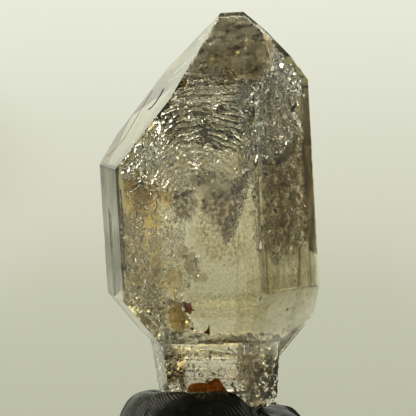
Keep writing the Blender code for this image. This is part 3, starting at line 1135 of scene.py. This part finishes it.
def putty_profile(tree, axis, angle):
    """The putty's outline in one direction: the foot's grip, the top, the side and the base."""
    out = direction(angle)
    level = PUTTY_TOP * MM
    for _ in range(3):
        reach = foot_wall(axis, out, level - 0.2 * MM)
        edge = axis + out * (reach + RIM_WIDTH * MM)
        top = ray_point(tree, edge + upright(RAY_START), edge)
        if top is not None:
            level = top.z
    low = upright(0.4 * MM)
    base = (ray_point(tree, axis + out * BASE_START + low, axis + low) - axis).dot(out)
    middle = (reach + RIM_WIDTH * MM + 0.3 * (base - reach), PUTTY_MIDDLE * MM)
    first = math.atan2(level - middle[1], reach + RIM_WIDTH * MM - middle[0])
    last = math.atan2(-middle[1], base - middle[0])
    spots = []
    for index in range(PUTTY_ALONG):
        turn = first + (last - first) * index / (PUTTY_ALONG - 1)
        aim = axis + out * middle[0] + upright(middle[1])
        away = out * math.cos(turn) + upright(math.sin(turn))
        hit = ray_point(tree, aim + away * RAY_START, aim)
        spots.append((hit - aim).length if hit is not None else 0.0)
    return reach, level, middle, first, last, spots


def soften(values, across, along):
    """Rounds the corners of the putty's distances."""
    for _ in range(across):
        values = 0.25 * np.roll(values, 1, 0) + 0.5 * values + 0.25 * np.roll(values, -1, 0)
    for _ in range(along):
        inner = 0.25 * values[:, :-2] + 0.5 * values[:, 1:-1] + 0.25 * values[:, 2:]
        values = np.concatenate((values[:, :1], inner, values[:, -1:]), axis=1)
    return values


def knead_height(spot):
    """The kneaded waves and creases at a point of the putty, in mm."""
    place = spot / MM
    knead = 0.12 * noise.noise(place / 3.6 + Vector((3, 7, 1))) + 0.03 * noise.noise(place / 1.5)
    folded = Vector((place.x / 3.0, place.y / 3.0, place.z / 1.6)) + Vector((5, 5, 5))
    crease = -0.06 * max(0.0, 1.0 - abs(noise.noise(folded)) / 0.05)
    return knead + crease


def ridge_node(tree):
    """Fine finger ridges, side by side and gently bent."""
    mapping = add_node(tree, "Mapping", {"Rotation": (0.3, 0.7, 0.2), "Vector": place_node(tree)})
    return add_node(tree, "TexWave", {
        "Scale": math.tau / (20.0 * RIDGE_PITCH * MM),
        "Distortion": 9.0,
        "Detail": 2.0,
        "Detail Scale": 0.25,
        "Vector": mapping.outputs["Vector"],
    }).outputs["Fac"]


def putty_material():
    """Near-black green putty, satin, with a fine grain and duller patches at random."""
    material, tree, shader = make_material("dark_putty")
    mottle = noise_node(tree, 600.0, 5.0)
    share = range_node(tree, mottle, 0.35, 0.65, 0.0, 1.0)
    pressed = range_node(tree, noise_node(tree, 220.0, 1.0), 0.42, 0.58, 0.1, 1.0)
    ridges = product_node(tree, ridge_node(tree), pressed)
    fine = bump_node(tree, noise_node(tree, 4200.0, 3.0), 0.02, 0.4)
    set_inputs(tree, shader, {
        "Base Color": blend_node(tree, share, (0.003, 0.0035, 0.0014), (0.006, 0.007, 0.003)),
        "Roughness": range_node(tree, mottle, 0.35, 0.65, 0.24, 0.36),
        "Specular IOR Level": 0.15,
        "Normal": bump_node(tree, ridges, RIDGE_HEIGHT, 1.0, fine),
    })
    return material


def putty_ring(bm, axis, angle, profile, grip, distances):
    """The putty's points in one direction, from its grip on the foot down to its base."""
    _, _, middle, first, last, _ = profile
    reach, level = grip
    out = direction(angle)
    ring = []
    for drop in (3.4, 1.2):
        probe = axis + upright(level - drop * MM)
        wall = foot_wall(axis, out, probe.z)
        ring.append(bm.verts.new(probe + out * (wall + PUTTY_GRIP * MM)))
    rim = axis + out * (reach + PUTTY_GRIP * MM) + upright(level - 0.15 * MM)
    ring.append(bm.verts.new(rim))
    aim = axis + out * middle[0] + upright(middle[1])
    for column in range(PUTTY_ALONG):
        share = column / (PUTTY_ALONG - 1)
        turn = first + (last - first) * share
        away = out * math.cos(turn) + upright(math.sin(turn))
        spot = aim + away * distances[column]
        fade = min(1.0, share / 0.06, (1.0 - share) / 0.1)
        spot += away * knead_height(spot) * fade * MM
        spot.z = max(spot.z, 0.0)
        ring.append(bm.verts.new(spot))
    return ring


def add_putty():
    tree = surface_tree("display_putty")
    corners = [vertex.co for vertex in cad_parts["scepter_crystal"].data.vertices]
    feet = [corner for corner in corners if corner.z < FOOT_TOP * MM]
    axis = sum(feet, Vector((0, 0, 0))) / len(feet)
    axis.z = 0.0
    angles = putty_angles()
    profiles = [putty_profile(tree, axis, angle) for angle in angles]
    distances = soften(np.array([profile[5] for profile in profiles]), 10, 3)
    grips = soften(np.array([profile[:2] for profile in profiles]), 2, 0)
    bm = bmesh.new()
    rings = []
    for row, angle in enumerate(angles):
        rings.append(putty_ring(bm, axis, angle, profiles[row], grips[row], distances[row]))
    for index, ring in enumerate(rings):
        after = rings[(index + 1) % len(rings)]
        for column in range(len(ring) - 1):
            bm.faces.new((ring[column], ring[column + 1], after[column + 1], after[column]))
    bm.faces.new([ring[-1] for ring in rings])
    bm.faces.new([ring[0] for ring in rings])
    turn_faces(bm, False)
    mesh = mesh_from(bm, "putty_lump", putty_material(), True)
    lump = add_object("putty_lump", mesh, "dark_putty")
    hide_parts("display_putty")


# The stage. How brightly the backdrop glows, by its distance in metres from the object.
GLOW_STOPS = ((0.0, 0.235), (0.2, 0.235), (0.45, 0.36), (0.65, 0.55), (0.9, 0.58))
# A brighter patch of the backdrop, left of what the camera sees, which the left faces mirror.
PATCH_PLACE = (-0.29, 0.74, 0.21)
# A painted pool of warm light: a glowing patch of the floor in front, which the crystal's left part
# mirrors from behind.
WARM_GLOW_PLACE = (-0.165, -0.235, 0.0)
# Darker patches that the left and the right faces show: middle, reach and share left.
SHADE_PLACES = (
    ((-0.19, 0.41, 0.02), 0.15, 0.2),
    ((-0.115, 0.225, 0.0), 0.065, 0.2),
    ((-0.11, 0.15, 0.0), 0.07, 0.6),
)


def stage_profile():
    """The floor's and the wall's outline: how far out and how high, in metres."""
    radius = 0.80
    fillet = 0.50
    last = math.radians(80)
    steps = 20
    profile = [(0.12, 0.0), (radius - fillet, 0.0)]
    for step in range(1, steps + 1):
        angle = last * step / steps
        reach = radius - fillet + fillet * math.sin(angle)
        profile.append((reach, fillet - fillet * math.cos(angle)))
    return profile


def stage_mesh():
    """A round floor that curves up into a wall."""
    segments = 96
    bm = bmesh.new()
    rings = []
    for reach, height in stage_profile():
        ring = []
        for segment in range(segments):
            angle = math.tau * segment / segments
            ring.append(bm.verts.new((reach * math.cos(angle), reach * math.sin(angle), height)))
        rings.append(ring)
    bm.faces.new(rings[0])
    for inner, outer in zip(rings, rings[1:]):
        for segment in range(segments):
            after = (segment + 1) % segments
            bm.faces.new((inner[segment], outer[segment], outer[after], inner[after]))
    return bm


def place_share(tree, middle, near, far, start, end):
    """A share that changes with the distance from a place."""
    inputs = {0: place_node(tree), 1: middle}
    away = add_node(tree, "VectorMath", inputs, operation="DISTANCE").outputs["Value"]
    return range_node(tree, away, near, far, start, end)


def glow_node(tree, away):
    """The backdrop's glow by the distance from the object."""
    ramp = add_node(tree, "ValToRGB", {"Fac": away})
    stops = ramp.color_ramp.elements
    while len(stops) < len(GLOW_STOPS):
        stops.new(0.5)
    for stop, (reach, glow) in zip(stops, GLOW_STOPS):
        stop.position = reach
        stop.color = (glow, glow, glow, 1.0)
    return ramp.outputs["Color"]


def stage_material():
    """A pale backdrop that glows more behind the object and less high up and to the front, with
    painted pools of light beside the object, at a patch on the left and on the floor in front, and
    painted shade at a few places.
    """
    material, tree, shader = make_material("stage")
    place = place_node(tree)
    split = add_node(tree, "SeparateXYZ", {0: place})
    away = add_node(tree, "VectorMath", {0: place}, operation="LENGTH").outputs["Value"]
    behind = range_node(tree, split.outputs["Y"], -0.1, 0.65, 0.22, 1.0)
    low = range_node(tree, split.outputs["Z"], 0.08, 0.4, 1.0, 0.3)
    glow = product_node(tree, product_node(tree, glow_node(tree, away), behind), low)
    # Painted light: the floor glows brighter to either side of the object, near it.
    side = math_node(tree, "ABSOLUTE", split.outputs["X"])
    beside = range_node(tree, side, 0.04, 0.12, 0.0, 0.5)
    near = range_node(tree, away, 0.1, 0.4, 1.0, 0.0)
    patch = place_share(tree, PATCH_PLACE, 0.06, 0.20, 1.0, 0.0)
    # Painted light: a warm glowing pool on the floor in front of the object.
    warm_glow = place_share(tree, WARM_GLOW_PLACE, 0.03, 0.13, 1.0, 0.0)
    total = math_node(tree, "ADD", glow, product_node(tree, beside, near))
    total = math_node(tree, "ADD", total, patch)
    total = math_node(tree, "ADD", total, product_node(tree, warm_glow, 0.9))
    for middle, reach, dark in SHADE_PLACES:
        shade = place_share(tree, middle, 0.4 * reach, reach, dark, 1.0)
        total = product_node(tree, total, shade)
    colour = blend_node(tree, patch, (1.0, 1.0, 0.97), (0.94, 1.0, 0.76))
    set_inputs(tree, shader, {
        "Base Color": (0.28, 0.295, 0.25),
        "Roughness": 1.0,
        "Specular IOR Level": 0.0,
        "Emission Color": blend_node(tree, warm_glow, colour, (1.0, 0.91, 0.68)),
        "Emission Strength": total,
    })
    return material


def add_stage():
    stage = add_object("stage", mesh_from(stage_mesh(), "stage", stage_material(), True), None)


def add_camera():
    data = bpy.data.cameras.new("camera")
    data.sensor_width = 36.0
    data.lens = data.sensor_width * CAMERA_DISTANCE / (PHOTO_SIDE * PIXEL)
    data.clip_start = 0.01
    camera = bpy.data.objects.new("camera", data)
    bpy.context.scene.collection.objects.link(camera)
    back = Vector((0.0, -math.cos(CAMERA_TILT), math.sin(CAMERA_TILT)))
    camera.location = CAMERA_AIM + back * CAMERA_DISTANCE
    camera.rotation_euler = (math.pi / 2 - CAMERA_TILT, 0.0, 0.0)
    bpy.context.scene.camera = camera


# The soft lights: name, place in metres, width and height, and power in watts.
LEFT_LIGHT = (-0.60, 0.12, 0.45)
LIGHTS = (
    ("left", LEFT_LIGHT, (0.45, 0.50), 4.0),
    ("right", (0.66, -0.10, 0.42), (0.35, 0.40), 2.0),
    ("back", (-0.1, 0.6, 0.75), (0.5, 0.25), 2.0),
    ("top", (0.08, 0.08, 0.75), (0.55, 0.55), 3.6),
)
LIGHT_COLOUR = (1.0, 0.97, 0.82)
LIGHT_AIM = Vector((0.0, 0.0, 0.03))


def add_light(name, place, size, power):
    data = bpy.data.lights.new(name, "AREA")
    data.shape = "RECTANGLE"
    data.size, data.size_y = size
    data.energy = power
    data.color = LIGHT_COLOUR
    light = bpy.data.objects.new(name, data)
    bpy.context.scene.collection.objects.link(light)
    light.location = place
    light.rotation_euler = (LIGHT_AIM - Vector(place)).to_track_quat("-Z", "Y").to_euler()


def add_world():
    """Dim light from all round, more from behind and less from straight above."""
    world = bpy.data.worlds.new("world")
    bpy.context.scene.world = world
    world.use_nodes = True
    tree = world.node_tree
    place = add_node(tree, "TexCoord", {}).outputs["Generated"]
    split = add_node(tree, "SeparateXYZ", {0: place})
    height = range_node(tree, split.outputs["Z"], 0.25, 0.9, 0.62, 0.42)
    behind = range_node(tree, split.outputs["Y"], -0.5, 0.5, 0.25, 1.0)
    set_inputs(tree, tree.nodes["Background"], {
        "Strength": product_node(tree, height, behind),
        "Color": (1.0, 0.97, 0.84),
    })


add_camera()
add_stage()
for row in LIGHTS:
    add_light(*row)
add_world()
add_shell()
add_cracks()
add_veils()
add_grains()
add_glints()
add_putty()

scene = bpy.context.scene
scene.cycles.max_bounces = 24
scene.cycles.transmission_bounces = 24
scene.cycles.transparent_max_bounces = 24
scene.view_settings.view_transform = "Standard"
